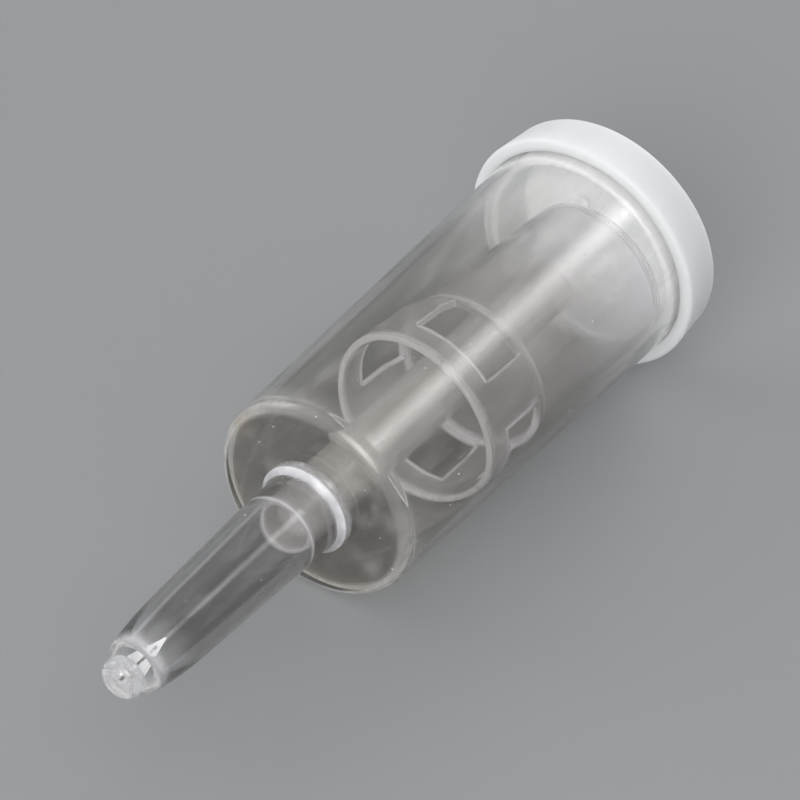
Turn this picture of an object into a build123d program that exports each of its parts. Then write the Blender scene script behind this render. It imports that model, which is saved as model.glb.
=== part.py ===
from build123d import *

import os
from math import cos, radians, sin, tan

# Three-piece water-seal airlock, lying on its side. Lengths are in millimetres.
# The body's axis is +X, from the tip of the stem to the cap, and +Z is up.
# The origin is on that axis at the foot of the stem's shoulder, where the stem enters a bung.

# ---------- driving dimensions ----------

# Stem: a tapered tube under a small seat and a conical shoulder
shoulder_radius = 7.2
shoulder_seat_radius = 6.42
shoulder_cone = 1.0
shoulder_band = 1.6
stem_radius = 6.12
stem_straight = 6.5
stem_waist_radius = 5.44
stem_waist_x = -29.5
stem_end_radius = 4.46
stem_length = 39.0
stem_end_wall = 1.16
stem_edge = 1.1

# Chamber: a clear cup with a flat floor
chamber_floor_x = shoulder_cone + shoulder_band
chamber_foot_radius = 16.15
chamber_mouth_radius = 17.22
chamber_height = 72.85
chamber_wall = 1.3
chamber_floor = 1.5
chamber_edge = 2.4
chamber_inner_edge = 1.2

# Centre tube: a standpipe through the chamber floor
tube_foot_radius = 4.6
tube_top_radius = 4.3
tube_height = 57.55
tube_wall = 0.95
tube_flange_radius = 5.1
tube_flange = 1.02
spigot_radius = 4.5
spigot_length = 7.0

# Tip plug: a knob behind a pointed cross of two blades, whose thin blade has wings that fit the bore
knob_radius = 3.2
knob_back_x = -40.3
knob_tip_x = -43.15
knob_dome = 1.9
knob_neck = 0.7
blade_foot = 1.76
blade_foot_x = -38.8
blade_waist = 1.25
blade_waist_x = -36.35
blade_apex = 0.1
blade_apex_x = -31.95
wide_blade_thickness = 0.8
thin_blade_thickness = 0.4
wing_start_x = -38.6
wing_end_x = -36.6

# Float bell: a loose inverted cup, leaning on the chamber wall
bell_rim_radius = 13.7
bell_shoulder_radius = 13.3
bell_step_radius = 12.4
bell_body_radius = 12.2
bell_top_radius = 11.75
bell_length = 42.75
bell_shoulder = 10.0
bell_skirt = 13.8
bell_wall = 1.0
bell_edge = 0.8
bell_rim_x = 22.9 + chamber_floor_x
bell_rim_shift = 1.15
bell_top_shift = 3.5
window_count = 4
window_span = 57
window_foot = 4.4
window_top = 12.7

# Cap: a press-on lid with a plug ring
cap_skirt_radius = 19.13
cap_shoulder_radius = 18.24
cap_height = 7.8
cap_top = 1.3
cap_edge = 1.4
cap_lip_edge = 0.4
cap_seat_gap = 0.3
plug_depth = 7.6
plug_wall = 1.15
cap_fit = 0.05
vent_count = 4
vent_radius = 0.8
vent_circle = 5.0

# Directions round the axis, in degrees from +Y towards +Z
lean_angle = 213.4
window_angle = 107.0
thin_blade_angle = 123.4

# ---------- worked-out places ----------

chamber_mouth_x = chamber_floor_x + chamber_height
chamber_inside_x = chamber_floor_x + chamber_floor
chamber_slope = (chamber_mouth_radius - chamber_foot_radius) / chamber_height
tube_top_x = chamber_floor_x + tube_height
spigot_end_x = chamber_floor_x - spigot_length
flange_x = chamber_floor_x - tube_flange
stem_end_x = -stem_length
bore_top_radius = spigot_radius - 0.2
bore_end_radius = stem_end_radius - stem_end_wall
stem_taper = Vector(stem_waist_x + stem_straight, stem_waist_radius - stem_radius)
bore_slope = (bore_top_radius - bore_end_radius) / (spigot_end_x - stem_end_x)
cap_under_x = chamber_mouth_x + cap_seat_gap
cap_top_x = cap_under_x + cap_top
cap_skirt_x = cap_top_x - cap_height
plug_end_x = cap_under_x - plug_depth


def around(angle):
    """The unit vector across the axis at this angle from +Y towards +Z."""
    return Vector(0, cos(radians(angle)), sin(radians(angle)))


def radial_plane(angle):
    """A plane that holds the body's axis: its x runs along the axis and its y outwards."""
    return Plane(origin=(0, 0, 0), x_dir=(1, 0, 0), z_dir=Vector(1, 0, 0).cross(around(angle)))


def chamber_inner_radius(x):
    """The radius of the chamber's inside at this place along the axis."""
    return chamber_foot_radius + chamber_slope * (x - chamber_floor_x) - chamber_wall


def stem_bore_radius(x):
    """The radius of the stem's bore at this place along the axis, below the spigot."""
    return bore_end_radius + bore_slope * (x - stem_end_x)


# ---------- chamber ----------

with BuildPart() as chamber:
    with BuildSketch() as chamber_section:
        with BuildLine():
            Polyline(
                (chamber_floor_x, tube_foot_radius),
                (chamber_floor_x, chamber_foot_radius),
                (chamber_mouth_x, chamber_mouth_radius),
                (chamber_mouth_x, chamber_mouth_radius - chamber_wall),
                (chamber_inside_x, chamber_inner_radius(chamber_inside_x)),
                (chamber_inside_x, tube_foot_radius),
                close=True,
            )
        make_face()
        foot_corner = chamber_section.vertices().group_by(Axis.X)[0].sort_by(Axis.Y)[-1]
        fillet(foot_corner, radius=chamber_edge)
        inner_corner = chamber_section.vertices().sort_by_distance(
            (chamber_inside_x, chamber_inner_radius(chamber_inside_x))
        )[0]
        fillet(inner_corner, radius=chamber_inner_edge)
    revolve(axis=Axis.X)

chamber.part.label = "chamber"

# ---------- centre tube ----------

with BuildPart() as centre_tube:
    with BuildSketch() as tube_section:
        with BuildLine():
            Polyline(
                (spigot_end_x, spigot_radius - tube_wall),
                (spigot_end_x, spigot_radius),
                (flange_x, spigot_radius),
                (flange_x, tube_flange_radius),
                (chamber_floor_x, tube_flange_radius),
                (chamber_floor_x, tube_foot_radius),
                (chamber_inside_x, tube_foot_radius),
                (tube_top_x, tube_top_radius),
                (tube_top_x, tube_top_radius - tube_wall),
                (chamber_floor_x, tube_foot_radius - tube_wall),
                close=True,
            )
        make_face()
        fillet(tube_section.vertices().group_by(Axis.X)[-1], radius=0.3 * tube_wall)
    revolve(axis=Axis.X)

centre_tube.part.label = "centre_tube"

# ---------- stem ----------

with BuildPart() as stem:
    with BuildSketch() as stem_section:
        with BuildLine():
            Polyline(
                (flange_x, tube_flange_radius),
                (chamber_floor_x, tube_flange_radius),
                (chamber_floor_x, shoulder_radius),
                (shoulder_cone, shoulder_radius),
                (0, shoulder_seat_radius),
                (0, stem_radius),
                (-stem_straight, stem_radius),
                (stem_waist_x, stem_waist_radius),
            )
            TangentArc(
                (stem_waist_x, stem_waist_radius), (stem_end_x, stem_end_radius), tangent=stem_taper
            )
            Polyline(
                (stem_end_x, stem_end_radius),
                (stem_end_x, bore_end_radius),
                (spigot_end_x, bore_top_radius),
                (spigot_end_x, spigot_radius),
                (flange_x, spigot_radius),
                (flange_x, tube_flange_radius),
            )
        make_face()
        fillet(stem_section.vertices().group_by(Axis.X)[0].sort_by(Axis.Y)[-1], radius=stem_edge)
    revolve(axis=Axis.X)

stem.part.label = "stem"

# ---------- tip plug ----------

with BuildPart() as tip_plug:
    with BuildSketch() as knob_section:
        with BuildLine():
            Polyline(
                (knob_tip_x, 0),
                (knob_tip_x, knob_radius),
                (knob_back_x, knob_radius),
                (knob_back_x, 0),
                close=True,
            )
        make_face()
        fillet(knob_section.vertices().group_by(Axis.X)[0].sort_by(Axis.Y)[-1], radius=knob_dome)
        fillet(knob_section.vertices().group_by(Axis.X)[-1].sort_by(Axis.Y)[-1], radius=knob_neck)
    revolve(axis=Axis.X)
    for angle, thickness in (
        (thin_blade_angle, thin_blade_thickness),
        (thin_blade_angle + 90, wide_blade_thickness),
    ):
        with BuildSketch(radial_plane(angle)):
            with BuildLine():
                Polyline(
                    (knob_back_x - knob_neck, -blade_foot),
                    (blade_foot_x, -blade_foot),
                    (blade_waist_x, -blade_waist),
                    (blade_apex_x, -blade_apex),
                    (blade_apex_x, blade_apex),
                    (blade_waist_x, blade_waist),
                    (blade_foot_x, blade_foot),
                    (knob_back_x - knob_neck, blade_foot),
                    close=True,
                )
            make_face()
        extrude(amount=thickness / 2, both=True)
    with BuildSketch(radial_plane(thin_blade_angle)):
        with BuildLine():
            Polyline(
                (wing_start_x, -stem_bore_radius(wing_start_x)),
                (wing_end_x, -stem_bore_radius(wing_end_x)),
                (wing_end_x, stem_bore_radius(wing_end_x)),
                (wing_start_x, stem_bore_radius(wing_start_x)),
                close=True,
            )
        make_face()
    extrude(amount=thin_blade_thickness / 2, both=True)

tip_plug.part.label = "tip_plug"

# ---------- float bell ----------

bell_rim_centre = Vector(bell_rim_x, 0, 0) + around(lean_angle) * bell_rim_shift
bell_top_centre = Vector(bell_rim_x + bell_length, 0, 0) + around(lean_angle) * bell_top_shift
bell_direction = (bell_top_centre - bell_rim_centre).normalized()
bell_section_plane = Plane(
    origin=bell_rim_centre, x_dir=bell_direction, z_dir=bell_direction.cross(around(window_angle))
)
window_reach = 1.2 * bell_rim_radius
window_half_width = window_reach * tan(radians(window_span / 2))

with BuildPart() as float_bell:
    with BuildSketch(bell_section_plane):
        with BuildLine():
            Polyline(
                (0, bell_rim_radius - bell_wall),
                (0, bell_rim_radius),
                (bell_shoulder, bell_shoulder_radius),
                (bell_skirt, bell_step_radius),
                (bell_skirt, bell_body_radius),
                (bell_length, bell_top_radius),
                (bell_length, 0),
                (bell_length - bell_wall, 0),
                (bell_length - bell_wall, bell_top_radius - bell_wall),
                (bell_skirt, bell_body_radius - bell_wall),
                (bell_shoulder, bell_shoulder_radius - bell_wall),
                close=True,
            )
        make_face()
    revolve(axis=Axis(bell_rim_centre, bell_direction))
    fillet(float_bell.edges().filter_by(GeomType.CIRCLE).group_by(Axis.X)[-1], radius=bell_edge)
    for window in range(window_count):
        window_plane = Plane(
            origin=bell_rim_centre,
            x_dir=around(window_angle + window * 360 / window_count),
            z_dir=bell_direction,
        )
        with BuildSketch(window_plane.offset(window_foot)):
            with BuildLine():
                Polyline(
                    (0, 0),
                    (window_reach, window_half_width),
                    (window_reach, -window_half_width),
                    close=True,
                )
            make_face()
        extrude(amount=window_top - window_foot, mode=Mode.SUBTRACT)

float_bell.part.label = "float_bell"

# ---------- cap ----------

with BuildPart() as cap:
    with BuildSketch() as cap_section:
        with BuildLine():
            Polyline(
                (cap_skirt_x, chamber_mouth_radius + cap_fit),
                (cap_skirt_x, cap_skirt_radius),
                (cap_top_x, cap_shoulder_radius),
                (cap_top_x, 0),
                (cap_under_x, 0),
                (cap_under_x, chamber_inner_radius(cap_under_x) - cap_fit - plug_wall),
                (plug_end_x, chamber_inner_radius(plug_end_x) - cap_fit - plug_wall),
                (plug_end_x, chamber_inner_radius(plug_end_x) - cap_fit),
                (cap_under_x, chamber_inner_radius(cap_under_x) - cap_fit),
                (cap_under_x, chamber_mouth_radius + cap_fit),
                close=True,
            )
        make_face()
        fillet(cap_section.vertices().group_by(Axis.X)[-1].sort_by(Axis.Y)[-1], radius=cap_edge)
        fillet(cap_section.vertices().sort_by_distance((cap_skirt_x, cap_skirt_radius))[0], radius=cap_lip_edge)
    revolve(axis=Axis.X)
    with BuildSketch(Plane.YZ.offset(cap_under_x)):
        with PolarLocations(vent_circle, vent_count, start_angle=lean_angle):
            Circle(vent_radius)
    extrude(amount=cap_top, mode=Mode.SUBTRACT)

cap.part.label = "cap"

# ---------- one file for each piece ----------

os.makedirs("parts", exist_ok=True)
for piece in (chamber, centre_tube, stem, tip_plug, float_bell, cap):
    export_step(piece.part, f"parts/{piece.part.label}.step")
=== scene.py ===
import math

import bmesh
import bpy
from mathutils import Matrix, Vector


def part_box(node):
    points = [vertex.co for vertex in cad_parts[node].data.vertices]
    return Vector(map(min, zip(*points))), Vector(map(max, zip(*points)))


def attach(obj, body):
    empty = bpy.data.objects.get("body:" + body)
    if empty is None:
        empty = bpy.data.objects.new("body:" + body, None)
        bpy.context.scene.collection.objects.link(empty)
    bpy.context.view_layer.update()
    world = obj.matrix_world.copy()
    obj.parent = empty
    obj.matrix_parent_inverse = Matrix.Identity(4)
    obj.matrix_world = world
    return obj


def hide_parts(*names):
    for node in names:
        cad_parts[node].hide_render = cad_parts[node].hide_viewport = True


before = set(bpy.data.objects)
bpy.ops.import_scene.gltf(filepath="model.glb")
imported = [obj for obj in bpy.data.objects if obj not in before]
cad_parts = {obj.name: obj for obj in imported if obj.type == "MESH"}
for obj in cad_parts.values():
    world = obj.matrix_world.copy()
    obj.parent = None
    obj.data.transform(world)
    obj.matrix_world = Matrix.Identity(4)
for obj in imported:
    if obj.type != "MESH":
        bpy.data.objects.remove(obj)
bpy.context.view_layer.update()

# A water-seal airlock lying on its side. Its moulded pieces are turned about +X, and its loose bell leans.
# Lengths are in metres. MM turns millimetres into metres.
MM = 0.001
# Segments round a turned piece, steps in a rounded quarter turn, and steps in the stem's long arc
SEGMENTS = 240
ARC_STEPS = 6
TAPER_STEPS = 12
# Spacing of the points along a turned piece's long runs, and of the closer ones near their ends
LONGEST_RUN = 3 * MM
SHORTEST_DIVIDED = 1.6 * MM
FIRST_STEP = 0.2 * MM
SECOND_STEP = 0.5 * MM
# Places this close count as the same
NEAR = 1e-7

# ---------- places and sizes from the frame ----------

chamber_low, chamber_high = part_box("chamber")
stem_low, stem_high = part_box("stem")
tube_low, tube_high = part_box("centre_tube")
plug_low, plug_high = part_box("tip_plug")
cap_low, cap_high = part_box("cap")

FLOOR_X = chamber_low.x
MOUTH_X = chamber_high.x
MOUTH_RADIUS = chamber_high.y
STEM_END_X = stem_low.x
SHOULDER_RADIUS = stem_high.y
TUBE_TOP_X = tube_high.x
SPIGOT_END_X = tube_low.x
FLANGE_RADIUS = tube_high.y
KNOB_TIP_X = plug_low.x
BLADE_APEX_X = plug_high.x
KNOB_RADIUS = plug_high.y
CAP_TOP_X = cap_high.x
PLUG_END_X = cap_low.x
CAP_RADIUS = cap_high.y

# ---------- wall thicknesses and lesser sizes ----------

SEAM = 0.03 * MM
SHARP_EDGE = 0.05 * MM
FINE_EDGE = 0.1 * MM
WALL = 1.3 * MM
FLOOR_THICKNESS = 1.5 * MM
FOOT_RADIUS = MOUTH_RADIUS - 1.07 * MM
FOOT_EDGE = 2.4 * MM
INNER_EDGE = 1.2 * MM
STEM_RADIUS = 6.12 * MM
STEM_STRAIGHT_X = -6.5 * MM
STEM_WAIST_X = -29.5 * MM
STEM_WAIST_RADIUS = 5.44 * MM
STEM_END_RADIUS = 4.46 * MM
STEM_EDGE = 0.9 * MM
STEM_END_WALL = 1.16 * MM
SHOULDER_CONE_X = 1.0 * MM
SHOULDER_SEAT_RADIUS = 6.42 * MM
TUBE_FOOT_RADIUS = 4.6 * MM
TUBE_TOP_RADIUS = 4.3 * MM
TUBE_WALL = 0.95 * MM
TUBE_EDGE = 0.3 * MM
BORE_BEND = 0.6 * MM
SPIGOT_RADIUS = 4.5 * MM
FLANGE_EDGE = 0.15 * MM
FLANGE_X = FLOOR_X - 1.02 * MM
KNOB_BACK_X = -40.3 * MM
KNOB_DOME = 1.9 * MM
KNOB_NECK = 0.7 * MM
BLADE_FOOT = 1.76 * MM
BLADE_FOOT_X = -38.8 * MM
BLADE_WAIST = 1.25 * MM
BLADE_WAIST_X = -36.35 * MM
BLADE_APEX = 0.1 * MM
WIDE_BLADE = 0.8 * MM
THIN_BLADE = 0.4 * MM
WING_START_X = -38.6 * MM
WING_END_X = -36.6 * MM
BELL_LENGTH = 42.75 * MM
BELL_SHOULDER = 10.0 * MM
BELL_SKIRT = 13.8 * MM
BELL_WALL = 1.0 * MM
BELL_RIM_RADIUS = 13.7 * MM
BELL_SHOULDER_RADIUS = 13.3 * MM
BELL_STEP_RADIUS = 12.4 * MM
BELL_BODY_RADIUS = 12.2 * MM
BELL_TOP_RADIUS = 11.75 * MM
BELL_RIM_EDGE = 0.25 * MM
BELL_STEP_EDGE = 0.08 * MM
BELL_TOP_EDGE = 0.8 * MM
BELL_INNER_TOP_EDGE = 0.5 * MM
BELL_INNER_STEP_EDGE = 0.3 * MM
BELL_RIM_X = FLOOR_X + 22.9 * MM
BELL_RIM_SHIFT = 1.15 * MM
BELL_TOP_SHIFT = 3.5 * MM
WINDOWS = 4
WINDOW_SPAN = 57
WINDOW_FOOT = 4.4 * MM
WINDOW_TOP = 12.7 * MM
WINDOW_BORDER = 0.22 * MM
CAP_THICKNESS = 1.3 * MM
CAP_SKIRT_X = CAP_TOP_X - 7.8 * MM
CAP_SHOULDER_RADIUS = 18.24 * MM
PLUG_WALL = 1.15 * MM
CAP_FIT = 0.05 * MM
CAP_TOP_EDGE = 1.4 * MM
CAP_LIP_EDGE = 0.55 * MM
PLUG_EDGE = 0.3 * MM
VENTS = 4
VENT_RADIUS = 0.8 * MM
VENT_CIRCLE = 5.0 * MM

# Directions round the axis, in degrees from +Y towards +Z: the way the bell leans, the middle of its
# first window, and the plane of the tip plug's thin blade
LEAN = 213.4
WINDOW = 107.0
THIN_BLADE_ANGLE = 123.4


def around(angle):
    """The unit vector across the axis at this angle from +Y towards +Z."""
    return Vector((0, math.cos(math.radians(angle)), math.sin(math.radians(angle))))


def chamber_outer(x):
    """The radius of the chamber's outside at this place along the axis."""
    share = (x - FLOOR_X) / (MOUTH_X - FLOOR_X)
    return FOOT_RADIUS + (MOUTH_RADIUS - FOOT_RADIUS) * share


def stem_bore(x):
    """The radius of the stem's bore at this place along the axis, below the spigot."""
    end = STEM_END_RADIUS - STEM_END_WALL
    top = SPIGOT_RADIUS - 0.2 * MM
    return end + (top - end) * (x - STEM_END_X) / (SPIGOT_END_X - STEM_END_X)


# ---------- turned pieces ----------


def round_corner(before, corner, after, radius):
    """Points of the arc of this radius that rounds a corner of an outline."""
    to_before = (before - corner).normalized()
    to_after = (after - corner).normalized()
    half = to_before.angle(to_after) / 2
    longest = 0.49 * min((before - corner).length, (after - corner).length)
    reach = min(radius / math.tan(half), longest)
    radius = reach * math.tan(half)
    centre = corner + (to_before + to_after).normalized() * (radius / math.sin(half))
    start = corner + to_before * reach - centre
    end = corner + to_after * reach - centre
    turn = start.angle_signed(end)
    steps = max(2, round(ARC_STEPS * abs(turn) / (math.pi / 2)))
    turns = [Matrix.Rotation(-turn * step / steps, 2) for step in range(steps + 1)]
    return [centre + matrix @ start for matrix in turns]


def rounded_outline(corners, closed):
    """An outline of (x, radius) points from corners of (x, radius, rounding)."""
    places = [Vector(corner[:2]) for corner in corners]
    points = []
    for index, (place, corner) in enumerate(zip(places, corners)):
        at_end = index in (0, len(corners) - 1)
        if corner[2] <= 0 or (at_end and not closed):
            points.append(place)
            continue
        after = places[(index + 1) % len(places)]
        points += round_corner(places[index - 1], place, after, corner[2])
    return points


def stepped(points, closed):
    """The same outline with its long runs divided, closely near their ends."""
    result = []
    following = points[1:] + points[:1] if closed else points[1:]
    for start, end in zip(points, following):
        length = (end - start).length
        places = [0.0]
        if length > SHORTEST_DIVIDED:
            middle = length - 2 * SECOND_STEP
            count = max(1, math.ceil(middle / LONGEST_RUN))
            inner = [SECOND_STEP + middle * step / count for step in range(1, count)]
            places += [FIRST_STEP, SECOND_STEP, *inner, length - SECOND_STEP, length - FIRST_STEP]
        result += [start.lerp(end, place / length) for place in places]
    if not closed:
        result.append(points[-1])
    return result


def mark_painted_highlight(piece, glow):
    """Marks how strongly each vertex is painted white as a highlight, from 0 to 1, by its place along the
    axis and out from it.
    """
    marks = piece.data.attributes.new("edge", "FLOAT", "POINT")
    for vertex, mark in zip(piece.data.vertices, marks.data):
        mark.value = min(1.0, glow(vertex.co))


def near_points(places):
    """A painted highlight that is strongest at these places, given as (x, radius, reach, strength)."""
    def glow(co):
        out = math.hypot(co.y, co.z)
        return max(
            strength * math.exp(-((co.x - x) ** 2 + (out - radius) ** 2) / reach ** 2)
            for x, radius, reach, strength in places
        )
    return glow


def turn_rings(bm, points, first_angle=0.0):
    """A ring of vertices round +X for each point of an outline, or one vertex on the axis."""
    rings = []
    for point in points:
        if point.y < NEAR:
            rings.append([bm.verts.new((point.x, 0, 0))])
            continue
        ring = []
        for segment in range(SEGMENTS):
            direction = around(first_angle + 360 * segment / SEGMENTS)
            ring.append(bm.verts.new(Vector((point.x, 0, 0)) + direction * point.y))
        rings.append(ring)
    return rings


def skin_between(bm, first, second, skipped=()):
    """Faces between two rings, apart from the skipped segments."""
    for segment in range(SEGMENTS):
        if segment in skipped:
            continue
        after = (segment + 1) % SEGMENTS
        if len(first) == 1:
            bm.faces.new((first[0], second[segment], second[after]))
        elif len(second) == 1:
            bm.faces.new((first[segment], second[0], first[after]))
        else:
            bm.faces.new((first[segment], second[segment], second[after], first[after]))


def finish_mesh(bm, name):
    """A smooth-shaded object in the scene, from this mesh."""
    bmesh.ops.recalc_face_normals(bm, faces=bm.faces)
    mesh = bpy.data.meshes.new(name)
    bm.to_mesh(mesh)
    bm.free()
    mesh.polygons.foreach_set("use_smooth", [True] * len(mesh.polygons))
    piece = bpy.data.objects.new(name, mesh)
    bpy.context.scene.collection.objects.link(piece)
    return piece


def even_normals(piece):
    """Flat stretches keep flat shading beside their rounded edges."""
    weighted = piece.modifiers.new("even normals", "WEIGHTED_NORMAL")
    weighted.weight = 100
    weighted.keep_sharp = True


def soften_edges(piece, angle, width):
    """Rounds the edges that turn by more than this angle."""
    softened = piece.modifiers.new("soft edges", "BEVEL")
    softened.limit_method = "ANGLE"
    softened.angle_limit = math.radians(angle)
    softened.width = width
    softened.segments = 2


def apply_boolean(piece, other, operation):
    """Joins the other closed object to the piece, or cuts it away, and then removes it."""
    change = piece.modifiers.new("change", "BOOLEAN")
    change.operation = operation
    change.solver = "EXACT"
    change.object = other
    piece.modifiers.move(len(piece.modifiers) - 1, 0)
    with bpy.context.temp_override(object=piece):
        bpy.ops.object.modifier_apply(modifier=change.name)
    bpy.data.objects.remove(other)


def turned(name, corners, closed, bright=(), shade=None):
    """A piece turned about +X from (x, radius, rounding) corners, painted white as a highlight at the
    bright places.

    Those are (x, radius, reach, strength), and shade changes their strength round the axis.
    """
    points = stepped(rounded_outline(corners, closed), closed)
    bm = bmesh.new()
    rings = turn_rings(bm, points)
    for first, second in zip(rings, rings[1:]):
        skin_between(bm, first, second)
    if closed:
        skin_between(bm, rings[-1], rings[0])
    piece = finish_mesh(bm, name)
    if bright:
        glow = near_points(bright)
        mark_painted_highlight(piece, lambda co: glow(co) * (shade(co) if shade else 1))
    even_normals(piece)
    return piece


def painted_highlight_side(co):
    """How strong the chamber's painted highlight is round the axis, a painted crescent of light: most on
    the side away from the thin blade's first edge.
    """
    turn = math.atan2(co.z, co.y) - math.radians(THIN_BLADE_ANGLE)
    return 0.18 + 0.41 * (1 - math.cos(turn))


def make_chamber():
    """The clear cup: a flat floor with a hole for the centre tube, and a drafted wall."""
    mouth_edge = 0.25 * MM
    inside_x = FLOOR_X + FLOOR_THICKNESS
    inside_radius = chamber_outer(inside_x) - WALL
    hole = TUBE_FOOT_RADIUS + SEAM
    # The foot's rounded edge and the floor's inner corner are painted white as a highlight, strongest on
    # one side.
    return turned("chamber_shell", [
        (FLOOR_X, hole, FINE_EDGE),
        (FLOOR_X, FOOT_RADIUS, FOOT_EDGE),
        (MOUTH_X, MOUTH_RADIUS, mouth_edge),
        (MOUTH_X, MOUTH_RADIUS - WALL, mouth_edge),
        (inside_x, inside_radius, INNER_EDGE),
        (inside_x, hole, FINE_EDGE),
    ], closed=True, bright=[
        (FLOOR_X + 0.5 * MM, FOOT_RADIUS - 0.92 * MM, 0.6 * MM, 1.2),
        (FLOOR_X + 1.2 * MM, FOOT_RADIUS - 0.3 * MM, 0.7 * MM, 1.2),
        (FLOOR_X + 2.2 * MM, FOOT_RADIUS, 0.8 * MM, 1.2),
        (inside_x + 0.3 * MM, inside_radius - 0.4 * MM, 0.3 * MM, 0.5),
    ], shade=painted_highlight_side)


def make_centre_tube():
    """The standpipe: a spigot for the stem's socket, a flange, and a tapered tube."""
    # The spigot's end, the spigot beside the flange and the tube's top are painted white as a highlight.
    return turned("centre_standpipe", [
        (SPIGOT_END_X, SPIGOT_RADIUS - TUBE_WALL, FLANGE_EDGE),
        (SPIGOT_END_X, SPIGOT_RADIUS - SEAM, TUBE_EDGE),
        (FLANGE_X + SEAM, SPIGOT_RADIUS - SEAM, FINE_EDGE),
        (FLANGE_X + SEAM, FLANGE_RADIUS - SEAM, FLANGE_EDGE),
        (FLOOR_X - SEAM, FLANGE_RADIUS - SEAM, FLANGE_EDGE),
        (FLOOR_X - SEAM, TUBE_FOOT_RADIUS, SHARP_EDGE),
        (TUBE_TOP_X, TUBE_TOP_RADIUS, TUBE_EDGE),
        (TUBE_TOP_X, TUBE_TOP_RADIUS - TUBE_WALL, TUBE_EDGE),
        (FLOOR_X, TUBE_FOOT_RADIUS - TUBE_WALL, BORE_BEND),
    ], closed=True, bright=[
        (SPIGOT_END_X, SPIGOT_RADIUS - 0.3 * MM, 0.6 * MM, 1.5),
        (FLANGE_X - 0.2 * MM, SPIGOT_RADIUS, 0.6 * MM, 1.8),
        (TUBE_TOP_X, TUBE_TOP_RADIUS - TUBE_WALL / 2, 0.45 * MM, 0.8),
    ])


def stem_taper():
    """Corners of the stem's outer side: straight, then a cone, then one arc to its end."""
    start = Vector((STEM_WAIST_X, STEM_WAIST_RADIUS))
    end = Vector((STEM_END_X, STEM_END_RADIUS))
    along = (start - Vector((STEM_STRAIGHT_X, STEM_RADIUS))).normalized()
    inward = Vector((-along.y, along.x))
    chord = end - start
    radius = chord.length_squared / (2 * chord.dot(inward))
    centre = start + inward * radius
    sweep = 2 * math.asin(chord.length / (2 * abs(radius)))
    corners = [(STEM_STRAIGHT_X, STEM_RADIUS, 0)]
    for step in range(TAPER_STEPS + 1):
        place = centre + Matrix.Rotation(sweep * step / TAPER_STEPS, 2) @ (start - centre)
        corners.append((place.x, place.y, 0))
    corners[-1] = (STEM_END_X, STEM_END_RADIUS, STEM_EDGE)
    return corners


def make_stem():
    """The tapered stem with its conical shoulder and the socket for the centre tube."""
    # The shoulder's ring, the socket's end and the stem's end are painted white as a highlight.
    return turned("stem_tube", [
        (FLANGE_X, FLANGE_RADIUS, FINE_EDGE),
        (FLOOR_X - SEAM, FLANGE_RADIUS, FINE_EDGE),
        (FLOOR_X - SEAM, SHOULDER_RADIUS, 0.15 * MM),
        (SHOULDER_CONE_X, SHOULDER_RADIUS, 0.2 * MM),
        (0, SHOULDER_SEAT_RADIUS, 0.08 * MM),
        (0, STEM_RADIUS, 0.12 * MM),
        *stem_taper(),
        (STEM_END_X, stem_bore(STEM_END_X), SHARP_EDGE),
        (SPIGOT_END_X, stem_bore(SPIGOT_END_X), FINE_EDGE),
        (SPIGOT_END_X, SPIGOT_RADIUS, FINE_EDGE),
        (FLANGE_X, SPIGOT_RADIUS, FINE_EDGE),
    ], closed=True, bright=[
        (0.2 * MM, SHOULDER_SEAT_RADIUS + 0.15 * MM, 0.28 * MM, 1.2),
        (0.5 * MM, SHOULDER_SEAT_RADIUS + 0.4 * MM, 0.3 * MM, 1.2),
        (0.85 * MM, SHOULDER_RADIUS - 0.1 * MM, 0.28 * MM, 1.2),
        (SPIGOT_END_X, SPIGOT_RADIUS - 0.1 * MM, 0.4 * MM, 0.9),
        (STEM_END_X + 0.6 * MM, STEM_END_RADIUS - 0.5 * MM, 0.9 * MM, 0.6),
    ])


def make_cap():
    """The press-on cap: a tapered skirt, a domed edge and a plug ring."""
    under_x = CAP_TOP_X - CAP_THICKNESS
    seat = MOUTH_RADIUS + CAP_FIT
    lip = chamber_outer(CAP_SKIRT_X) + 0.3 * CAP_FIT
    plug_top = chamber_outer(under_x) - WALL - CAP_FIT
    plug_foot = chamber_outer(PLUG_END_X) - WALL - CAP_FIT
    return turned("cap_shell", [
        (CAP_TOP_X, 0, 0),
        (CAP_TOP_X, CAP_SHOULDER_RADIUS, CAP_TOP_EDGE),
        (CAP_SKIRT_X, CAP_RADIUS + 0.05 * MM, CAP_LIP_EDGE),
        (CAP_SKIRT_X, lip, SHARP_EDGE),
        (under_x, seat, 0.2 * MM),
        (under_x, plug_top, 0.2 * MM),
        (PLUG_END_X, plug_foot, PLUG_EDGE),
        (PLUG_END_X, plug_foot - PLUG_WALL, PLUG_EDGE),
        (under_x, plug_top - PLUG_WALL, 0.5 * MM),
        (under_x, 0, 0),
    ], closed=False)


def bell_frame():
    """The bell's own place: its x along its leaning axis, from the centre of its rim."""
    rim = Vector((BELL_RIM_X, 0, 0)) + around(LEAN) * BELL_RIM_SHIFT
    top = Vector((BELL_RIM_X + BELL_LENGTH, 0, 0)) + around(LEAN) * BELL_TOP_SHIFT
    along = (top - rim).normalized()
    turn = Vector((1, 0, 0)).rotation_difference(along)
    return Matrix.Translation(rim) @ turn.to_matrix().to_4x4()


def bell_side(corners, stations):
    """One side of the bell's skirt and body: rounded corners, and a point at each station's x."""
    points = rounded_outline(corners, closed=False)
    for station in stations:
        for index, (start, end) in enumerate(zip(points, points[1:])):
            low, high = sorted((start.x, end.x))
            if low + 10 * NEAR < station < high - 10 * NEAR:
                share = (station - start.x) / (end.x - start.x)
                points.insert(index + 1, start.lerp(end, share))
                break
    return points


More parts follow.
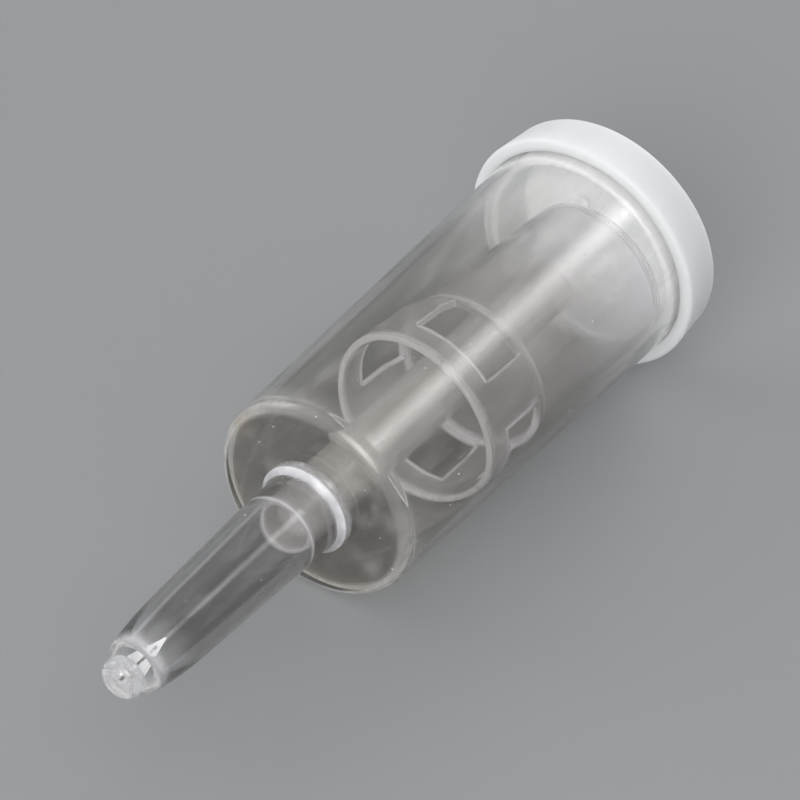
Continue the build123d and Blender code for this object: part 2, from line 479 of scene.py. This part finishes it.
def bell_painted_highlight(co):
    """Painted white highlight rings at the bell's rim, step and top, and along the windows' borders."""
    rings = near_points([
        (0, BELL_RIM_RADIUS - 0.1 * MM, 0.75 * MM, 2.5),
        (BELL_SKIRT, BELL_STEP_RADIUS, 0.6 * MM, 2.5),
        (BELL_LENGTH - 0.3 * MM, BELL_TOP_RADIUS - 0.3 * MM, 0.7 * MM, 1.2),
    ])(co)
    out = math.hypot(co.y, co.z)
    turn = (math.degrees(math.atan2(co.z, co.y)) - WINDOW + WINDOW_SPAN / 2) % (360 / WINDOWS)
    past = max(0, turn - WINDOW_SPAN)
    sideways = out * math.radians(min(past, 360 / WINDOWS - turn)) if past else 0
    endways = max(WINDOW_FOOT - co.x, co.x - WINDOW_TOP, 0)
    strength = 1.3 if co.x < WINDOW_FOOT + 0.2 * MM or sideways else 0.2
    border = strength * math.exp(-(sideways ** 2 + endways ** 2) / WINDOW_BORDER ** 2)
    return max(rings, border)


def bell_outlines(stations):
    """The bell's inside from its top to its rim, and its outside from its rim to its top."""
    inner = bell_side([
        (BELL_LENGTH - BELL_WALL, 0, 0),
        (BELL_LENGTH - BELL_WALL, BELL_TOP_RADIUS - BELL_WALL, BELL_INNER_TOP_EDGE),
        (BELL_SKIRT, BELL_BODY_RADIUS - BELL_WALL, BELL_INNER_STEP_EDGE),
        (BELL_SHOULDER, BELL_SHOULDER_RADIUS - BELL_WALL, 0),
        (0, BELL_RIM_RADIUS - BELL_WALL, BELL_RIM_EDGE),
        (0, BELL_RIM_RADIUS - BELL_WALL / 2, 0),
    ], stations)
    outer = bell_side([
        (0, BELL_RIM_RADIUS - BELL_WALL / 2, 0),
        (0, BELL_RIM_RADIUS, BELL_RIM_EDGE),
        (BELL_SHOULDER, BELL_SHOULDER_RADIUS, 0),
        (BELL_SKIRT, BELL_STEP_RADIUS, BELL_STEP_EDGE),
        (BELL_SKIRT, BELL_BODY_RADIUS, BELL_STEP_EDGE),
        (BELL_LENGTH, BELL_TOP_RADIUS, BELL_TOP_EDGE),
        (BELL_LENGTH, 0, 0),
    ], stations)
    return inner, outer


def line_window(bm, inner_rings, outer_rings, start, end):
    """The four sides of a window through the wall, between two of the rings' segments."""
    for segment in range(start, end):
        after = (segment + 1) % SEGMENTS
        for near, far in ((inner_rings[0], outer_rings[0]), (inner_rings[-1], outer_rings[-1])):
            bm.faces.new((near[segment], near[after], far[after], far[segment]))
    for row in range(len(inner_rings) - 1):
        for segment in (start, end):
            bm.faces.new((
                inner_rings[row][segment], inner_rings[row + 1][segment],
                outer_rings[row + 1][segment], outer_rings[row][segment],
            ))


def make_bell():
    """The float bell: a thin inverted cup with four windows in its skirt."""
    # Rings of points up the windows, and more of them where the painted highlight's borders and rings fade
    in_windows = [WINDOW_FOOT, 7.2 * MM, BELL_SHOULDER, 11.4 * MM, WINDOW_TOP]
    by_rim = [0.4 * MM, 0.8 * MM, 1.5 * MM, WINDOW_FOOT - 0.3 * MM]
    by_step = [WINDOW_TOP + 0.3 * MM, BELL_SKIRT - 0.35 * MM, BELL_SKIRT + 0.4 * MM, BELL_SKIRT + 1.0 * MM]
    by_top = [20 * MM, 30 * MM, BELL_LENGTH - 1.8 * MM]
    inner, outer = bell_outlines(in_windows + by_rim + by_step + by_top)
    points = inner + outer[1:]
    bm = bmesh.new()
    rings = turn_rings(bm, points, WINDOW - WINDOW_SPAN / 2)
    across = SEGMENTS // WINDOWS
    open_segments = round(SEGMENTS * WINDOW_SPAN / 360)
    cut = {segment for segment in range(SEGMENTS) if segment % across < open_segments}
    for index, (start, end) in enumerate(zip(points, points[1:])):
        upright = abs(start.y - end.y) < 0.5 * abs(start.x - end.x)
        in_window = upright and WINDOW_FOOT < (start.x + end.x) / 2 < WINDOW_TOP
        skin_between(bm, rings[index], rings[index + 1], cut if in_window else ())
    rim = len(inner) - 1
    at_window = [any(abs(point.x - x) < NEAR for x in in_windows) for point in points]
    inner_rings = [rings[index] for index in range(rim, -1, -1) if at_window[index]]
    outer_rings = [rings[index] for index in range(rim + 1, len(points)) if at_window[index]]
    for window in range(WINDOWS):
        start = window * across
        line_window(bm, inner_rings, outer_rings, start, start + open_segments)
    bell = finish_mesh(bm, "bell_shell")
    # The bell's rim, step, top and window borders are painted white as a highlight.
    mark_painted_highlight(bell, bell_painted_highlight)
    bell.data.transform(bell_frame())
    soften_edges(bell, 50, 0.12 * MM)
    even_normals(bell)
    return bell


def make_blade(name, outline, angle, thickness):
    """A flat blade through the axis, from (x, half width) places, at this angle round the axis."""
    bm = bmesh.new()
    side = around(angle + 90) * (thickness / 2)
    places = [Vector((x, 0, 0)) + around(angle) * half for x, half in outline]
    places += [Vector((x, 0, 0)) - around(angle) * half for x, half in reversed(outline)]
    front = [bm.verts.new(place + side) for place in places]
    back = [bm.verts.new(place - side) for place in places]
    bm.faces.new(front)
    bm.faces.new(list(reversed(back)))
    for k in range(len(places)):
        after = (k + 1) % len(places)
        bm.faces.new((front[k], back[k], back[after], front[after]))
    return finish_mesh(bm, name)


def plug_painted_highlight(co):
    """The plug's wide blade is painted white as a strong highlight, its thin blade less, and its knob only
    a little.
    """
    if co.x < BLADE_FOOT_X - 0.1 * MM:
        return 0.1
    across = abs(co.dot(around(THIN_BLADE_ANGLE)))
    return 2.0 if across < WIDE_BLADE / 2 + 0.02 * MM else 0.15


def make_tip_plug():
    """The stem's end plug: a rounded knob and a pointed cross of two blades."""
    plug = turned("tip_knob", [
        (KNOB_TIP_X, 0, 0),
        (KNOB_TIP_X, KNOB_RADIUS, KNOB_DOME),
        (KNOB_BACK_X, KNOB_RADIUS, KNOB_NECK),
        (KNOB_BACK_X, 0, 0),
    ], closed=False)
    plug.modifiers.clear()
    arrow = [
        (KNOB_BACK_X - KNOB_NECK, BLADE_FOOT),
        (BLADE_FOOT_X - 0.2 * MM, BLADE_FOOT),
        (BLADE_FOOT_X, BLADE_FOOT),
        (BLADE_WAIST_X, BLADE_WAIST),
        (BLADE_APEX_X, BLADE_APEX),
    ]
    wings = [(x, stem_bore(x) - SEAM) for x in (WING_START_X, WING_END_X)]
    for name, outline, angle, thickness in (
        ("wide_blade", arrow, THIN_BLADE_ANGLE + 90, WIDE_BLADE),
        ("thin_blade", arrow, THIN_BLADE_ANGLE, THIN_BLADE),
        ("wings", wings, THIN_BLADE_ANGLE, THIN_BLADE),
    ):
        apply_boolean(plug, make_blade(name, outline, angle, thickness), "UNION")
    plug.data.polygons.foreach_set("use_smooth", [True] * len(plug.data.polygons))
    # The plug's blades are painted white as a highlight, the knob only a little.
    mark_painted_highlight(plug, plug_painted_highlight)
    soften_edges(plug, 25, 0.05 * MM)
    even_normals(plug)
    return plug


def drill_vents(cap):
    """The cap's vent holes."""
    bm = bmesh.new()
    for k in range(VENTS):
        centre = around(LEAN + 360 * k / VENTS) * VENT_CIRCLE
        place = Matrix.Translation(Vector((CAP_TOP_X - CAP_THICKNESS / 2, 0, 0)) + centre)
        turn = Matrix.Rotation(math.radians(90), 4, "Y")
        bmesh.ops.create_cone(
            bm, cap_ends=True, segments=40, radius1=VENT_RADIUS, radius2=VENT_RADIUS,
            depth=3 * CAP_THICKNESS, matrix=place @ turn,
        )
    apply_boolean(cap, finish_mesh(bm, "drill"), "DIFFERENCE")


# ---------- materials ----------

PLASTIC_IOR = 1.5
# The edge colours are the painted highlight's white on the marked edges, and also the colour of the dust,
# scuffs and cloudy patches.
WHITE_EDGE = (0.90, 0.89, 0.93)
WARM_EDGE = (0.93, 0.91, 0.86)
TIP_EDGE = (0.97, 0.97, 0.98)
DULL_WHITE = (0.80, 0.81, 0.805)
BRIGHT_WHITE = (0.85, 0.86, 0.855)
STAIN_BROWN = (0.55, 0.38, 0.20)
FLOOR_GREY = (0.32, 0.325, 0.33)


def node(tree, kind, **values):
    """A new node with some of its inputs or properties set."""
    made = tree.nodes.new(kind)
    for key, value in values.items():
        if hasattr(made, key):
            setattr(made, key, value)
        else:
            made.inputs[key.replace("_", " ")].default_value = value
    return made


def ranged(tree, source, low, high, to_low, to_high):
    """The source's range from low to high, turned into another range."""
    made = node(tree, "ShaderNodeMapRange", From_Min=low, From_Max=high, To_Min=to_low, To_Max=to_high)
    tree.links.new(source, made.inputs["Value"])
    return made.outputs["Result"]


def combined(tree, operation, first, second):
    """A Math node of two sources, or of a source and a number."""
    made = node(tree, "ShaderNodeMath", operation=operation)
    for index, value in enumerate((first, second)):
        if isinstance(value, (int, float)):
            made.inputs[index].default_value = value
        else:
            tree.links.new(value, made.inputs[index])
    return made.outputs["Value"]


def noise(tree, place, scale, detail=2.0, stretch=None, turn=(0, 0, 0)):
    """A noise pattern, stretched along the axis if asked."""
    source = place
    if stretch:
        mapping = node(tree, "ShaderNodeMapping", Scale=stretch, Rotation=turn)
        tree.links.new(place, mapping.inputs["Vector"])
        source = mapping.outputs["Vector"]
    made = node(tree, "ShaderNodeTexNoise", Scale=scale, Detail=detail)
    tree.links.new(source, made.inputs["Vector"])
    return made.outputs["Fac"]


def specks(tree, place, scale, size, share):
    """Small round specks in some of the cells of this scale."""
    cells = node(tree, "ShaderNodeTexVoronoi", Scale=scale)
    tree.links.new(place, cells.inputs["Vector"])
    dots = ranged(tree, cells.outputs["Distance"], size, size * 0.6, 0.0, 1.0)
    split = node(tree, "ShaderNodeSeparateColor")
    tree.links.new(cells.outputs["Color"], split.inputs["Color"])
    chosen = combined(tree, "LESS_THAN", split.outputs["Red"], share)
    return combined(tree, "MULTIPLY", dots, chosen)


def mixed(tree, share, first, second):
    """A colour between two others: each is a colour, or a socket that gives one."""
    made = node(tree, "ShaderNodeMix", data_type="RGBA")
    tree.links.new(share, made.inputs[0])
    for socket, colour in ((made.inputs[6], first), (made.inputs[7], second)):
        if isinstance(colour, tuple):
            socket.default_value = (*colour, 1)
        else:
            tree.links.new(colour, socket)
    return made.outputs[2]


def cleared(tree, place, tint, clear_tint, start_x, end_x):
    """A tint that turns into a clearer one along the axis."""
    split = node(tree, "ShaderNodeSeparateXYZ")
    tree.links.new(place, split.inputs["Vector"])
    return mixed(tree, ranged(tree, split.outputs["X"], start_x, end_x, 0.0, 1.0), tint, clear_tint)


def stained(tree, place, colour, centre, reach, tint):
    """A patchy stain round a place."""
    away = node(tree, "ShaderNodeVectorMath", operation="DISTANCE")
    tree.links.new(place, away.inputs[0])
    away.inputs[1].default_value = centre
    spot = ranged(tree, away.outputs["Value"], reach, reach * 0.3, 0.0, 1.0)
    patchy = ranged(tree, noise(tree, place, 500.0, 4.0), 0.4, 0.6, 0.1, 0.8)
    return mixed(tree, combined(tree, "MULTIPLY", spot, patchy), colour, tint)


def scuffs(tree, place):
    """Fine scratches, nearly along the axis."""
    streaks = noise(tree, place, 1.0, 2.0, (220.0, 4200.0, 4200.0), (0.3, 0.04, 0.12))
    return ranged(tree, streaks, 0.66, 0.78, 0.0, 0.3)


def milkiness_and_painted_highlight(tree, place, scuff):
    """How hazy the plastic is from specks of dust, cloudy patches and scuffs, with its marked edges
    painted white as a highlight.
    """
    edge = node(tree, "ShaderNodeAttribute", attribute_name="edge").outputs["Fac"]
    uneven = ranged(tree, noise(tree, place, 500.0, 3.0), 0.3, 0.7, 0.75, 1.05)
    edge = combined(tree, "MULTIPLY", edge, uneven)
    dust = combined(tree, "MULTIPLY", specks(tree, place, 380.0, 0.07, 0.35), 0.8)
    patch = ranged(tree, noise(tree, place, 1.0, 4.0, (60.0, 220.0, 220.0)), 0.5, 0.75, 0.0, 0.2)
    marks = combined(tree, "MAXIMUM", combined(tree, "MAXIMUM", scuff, patch), dust)
    return ranged(tree, combined(tree, "MAXIMUM", edge, marks), 0.0, 1.0, 0.0, 1.0)


def uneven_surface(tree, place, scuff):
    """The moulding's faint waves, with the scuffs cut into them."""
    wave = node(tree, "ShaderNodeBump", Strength=0.2, Distance=0.0003)
    tree.links.new(noise(tree, place, 90.0, 1.0), wave.inputs["Height"])
    bump = node(tree, "ShaderNodeBump", Strength=0.3, Distance=0.00002)
    tree.links.new(scuff, bump.inputs["Height"])
    tree.links.new(wave.outputs["Normal"], bump.inputs["Normal"])
    return bump.outputs["Normal"]


def let_light_through(tree, shader, output, share):
    """Lets this share of the light through each wall straight to what is behind it."""
    path = node(tree, "ShaderNodeLightPath")
    passing = node(tree, "ShaderNodeBsdfTransparent")
    passing.inputs["Color"].default_value = (share, share, share, 1)
    choose = node(tree, "ShaderNodeMixShader")
    tree.links.new(path.outputs["Is Shadow Ray"], choose.inputs["Fac"])
    tree.links.new(shader.outputs["BSDF"], choose.inputs[1])
    tree.links.new(passing.outputs["BSDF"], choose.inputs[2])
    tree.links.new(choose.outputs["Shader"], output.inputs["Surface"])


def clear_plastic(name, tint, edge_tint, haze, roughness, clearing=None, stain=None):
    """Clear moulded plastic, painted white at its edges as a highlight, with fine scuffs, specks and a
    slight haze.

    A clearing is (clearer tint, x where it starts, x where it ends), and a stain is (centre, reach, tint).
    """
    material = bpy.data.materials.new(name)
    material.use_nodes = True
    tree = material.node_tree
    shader = tree.nodes["Principled BSDF"]
    shader.inputs["IOR"].default_value = PLASTIC_IOR
    place = node(tree, "ShaderNodeTexCoord").outputs["Object"]
    scuff = scuffs(tree, place)
    milk_and_painted_highlight = milkiness_and_painted_highlight(tree, place, scuff)
    wall_tint = cleared(tree, place, tint, *clearing) if clearing else tint
    # The marked edges are painted towards the edge colour as a highlight, and the dust, scuffs and patches
    # take it too.
    colour = mixed(tree, milk_and_painted_highlight, wall_tint, edge_tint)
    if stain:
        colour = stained(tree, place, colour, *stain)
    tree.links.new(colour, shader.inputs["Base Color"])
    clearness = ranged(tree, milk_and_painted_highlight, 0.0, 1.0, 1 - haze, 0.12)
    tree.links.new(clearness, shader.inputs["Transmission Weight"])
    cloud = ranged(tree, noise(tree, place, 120.0, 4.0), 0.35, 0.75, roughness, roughness * 3)
    rough = combined(tree, "ADD", cloud, combined(tree, "MULTIPLY", milk_and_painted_highlight, 0.25))
    tree.links.new(rough, shader.inputs["Roughness"])
    tree.links.new(uneven_surface(tree, place, scuff), shader.inputs["Normal"])
    let_light_through(tree, shader, tree.nodes["Material Output"], 0.92)
    return material


def milky_plastic(name):
    """Soft white plastic that lets a little light through."""
    material = bpy.data.materials.new(name)
    material.use_nodes = True
    tree = material.node_tree
    shader = tree.nodes["Principled BSDF"]
    shader.inputs["IOR"].default_value = PLASTIC_IOR
    shader.inputs["Specular IOR Level"].default_value = 0.3
    shader.inputs["Subsurface Weight"].default_value = 1.0
    shader.inputs["Subsurface Radius"].default_value = (1.0, 0.97, 0.93)
    shader.inputs["Subsurface Scale"].default_value = 2.5 * MM
    place = node(tree, "ShaderNodeTexCoord").outputs["Object"]
    cloud = noise(tree, place, 160.0, 5.0)
    tree.links.new(mixed(tree, cloud, DULL_WHITE, BRIGHT_WHITE), shader.inputs["Base Color"])
    tree.links.new(ranged(tree, cloud, 0.3, 0.7, 0.45, 0.6), shader.inputs["Roughness"])
    bump = node(tree, "ShaderNodeBump", Strength=0.15, Distance=0.00005)
    tree.links.new(noise(tree, place, 1800.0, 2.0), bump.inputs["Height"])
    tree.links.new(bump.outputs["Normal"], shader.inputs["Normal"])
    return material


def pale_floor(name):
    """The plain pale floor's matt paper."""
    material = bpy.data.materials.new(name)
    material.use_nodes = True
    tree = material.node_tree
    shader = tree.nodes["Principled BSDF"]
    shader.inputs["Base Color"].default_value = (*FLOOR_GREY, 1)
    shader.inputs["Roughness"].default_value = 0.9
    shader.inputs["Specular IOR Level"].default_value = 0.2
    return material


# ---------- the object ----------

chamber = make_chamber()
centre_tube = make_centre_tube()
stem = make_stem()
tip_plug = make_tip_plug()
bell = make_bell()
cap = make_cap()
drill_vents(cap)

stain_place = Vector((FLOOR_X + FOOT_EDGE, 0, 0)) + around(LEAN + 180) * (FOOT_RADIUS - 1.6 * MM)
# The chamber's tint clears towards the mouth as painted light, so the cap's inside shows lighter through
# it.
chamber_plastic = clear_plastic(
    "clear_chamber", tint=(0.60, 0.585, 0.56), edge_tint=WARM_EDGE, haze=0.02, roughness=0.02,
    clearing=((0.96, 0.955, 0.95), 46 * MM, 64 * MM), stain=(stain_place, 3.0 * MM, STAIN_BROWN),
)
stem_plastic = clear_plastic(
    "clear_stem", tint=(0.54, 0.53, 0.52), edge_tint=WHITE_EDGE, haze=0.01, roughness=0.02,
    clearing=((0.95, 0.95, 0.95), -32.0 * MM, -36.0 * MM),
)
tube_plastic = clear_plastic(
    "clear_tube", tint=(0.93, 0.92, 0.91), edge_tint=WHITE_EDGE, haze=0.22, roughness=0.06,
)
tip_plastic = clear_plastic(
    "clear_tip", tint=(0.92, 0.92, 0.92), edge_tint=TIP_EDGE, haze=0.05, roughness=0.03,
)
bell_plastic = clear_plastic(
    "clear_bell", tint=(0.95, 0.95, 0.96), edge_tint=WHITE_EDGE, haze=0.09, roughness=0.05,
)
cap_plastic = milky_plastic("milky_cap")

for piece, material, body, replaced, slot in (
    (chamber, chamber_plastic, "body", "chamber", "clear_plastic"),
    (centre_tube, tube_plastic, "body", "centre_tube", "clear_plastic"),
    (stem, stem_plastic, "body", "stem", "clear_plastic"),
    (tip_plug, tip_plastic, "body", "tip_plug", "clear_plastic"),
    (bell, bell_plastic, "float", "float_bell", "clear_plastic"),
    (cap, cap_plastic, "lid", "cap", "white_cap"),
):
    piece.data.materials.clear()
    piece.data.materials.append(material)
    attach(piece, body)
    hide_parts(replaced)

# ---------- floor, light and camera ----------

# The airlock lies on the cap's rim and the chamber's foot, so the floor slopes with it.
cap_rest = Vector((CAP_SKIRT_X + 0.4 * MM, 0, -CAP_RADIUS))
foot_rest = Vector((FLOOR_X + FOOT_EDGE, 0, -chamber_outer(FLOOR_X + FOOT_EDGE)))
slope = math.atan2(cap_rest.z - foot_rest.z, cap_rest.x - foot_rest.x)
bpy.ops.mesh.primitive_plane_add(size=6.0, location=(foot_rest + cap_rest) / 2, rotation=(0, -slope, 0))
floor = bpy.context.object
floor.name = "floor"
floor.data.materials.append(pale_floor("pale_floor"))

VIEW_AZIMUTH = -54.79
VIEW_ELEVATION = 40.75
VIEW_DISTANCE = 1.5
VIEW_WIDTH = 0.1129
aim = Vector((26.8, 1.80, 1.19)) * MM

azimuth, elevation = math.radians(VIEW_AZIMUTH), math.radians(VIEW_ELEVATION)
back = Vector((
    math.sin(azimuth) * math.cos(elevation),
    -math.cos(azimuth) * math.cos(elevation),
    math.sin(elevation),
))
camera_data = bpy.data.cameras.new("camera")
camera_data.sensor_width = 36
camera_data.lens = camera_data.sensor_width * VIEW_DISTANCE / VIEW_WIDTH
camera_data.clip_start = 0.05
camera_data.clip_end = 20
camera = bpy.data.objects.new("camera", camera_data)
camera.location = aim + back * VIEW_DISTANCE
camera.rotation_euler = (-back).to_track_quat("-Z", "Y").to_euler()
bpy.context.scene.collection.objects.link(camera)
bpy.context.scene.camera = camera


# What the lights face, near the object's middle
LIT_PLACE = Vector((0.02, 0, 0))


def softbox(name, direction, distance, width, height, radiance):
    """A soft light that faces the object from this direction, brightest in its middle."""
    data = bpy.data.lights.new(name, "AREA")
    data.shape = "RECTANGLE"
    data.size = width
    data.size_y = height
    data.energy = radiance * math.pi * width * height
    data.use_nodes = True
    tree = data.node_tree
    place = tree.nodes.new("ShaderNodeNewGeometry").outputs["Parametric"]
    away = node(tree, "ShaderNodeVectorMath", operation="DISTANCE")
    tree.links.new(place, away.inputs[0])
    away.inputs[1].default_value = (0.5, 0.5, 0)
    fade = ranged(tree, away.outputs["Value"], 0.1, 0.5, 1.0, 0.0)
    tree.links.new(fade, tree.nodes["Emission"].inputs["Strength"])
    light = bpy.data.objects.new(name, data)
    light.location = LIT_PLACE + Vector(direction).normalized() * distance
    light.rotation_euler = (-Vector(direction)).to_track_quat("-Z", "Y").to_euler()
    light.visible_camera = False
    bpy.context.scene.collection.objects.link(light)


softbox("streak_light", (0.62, -0.43, 0.66), 0.8, 0.32, 0.32, 3.6)
softbox("back_light", (1.0, 0.15, 0.25), 0.9, 0.7, 0.7, 6.0)
softbox("key_light", (-0.75, -0.3, 0.6), 1.0, 0.9, 0.9, 7.0)
softbox("fill_light", (-0.2, 0.9, 0.5), 1.0, 0.8, 0.8, 3.0)

world = bpy.data.worlds.new("studio")
bpy.context.scene.world = world
world.use_nodes = True
world.node_tree.nodes["Background"].inputs["Color"].default_value = (0.78, 0.80, 0.83, 1)
world.node_tree.nodes["Background"].inputs["Strength"].default_value = 0.6

bpy.context.scene.view_settings.view_transform = "Standard"

# Light has to pass through many clear walls.
cycles = bpy.context.scene.cycles
cycles.max_bounces = 24
cycles.transmission_bounces = 24
cycles.transparent_max_bounces = 32
cycles.glossy_bounces = 8
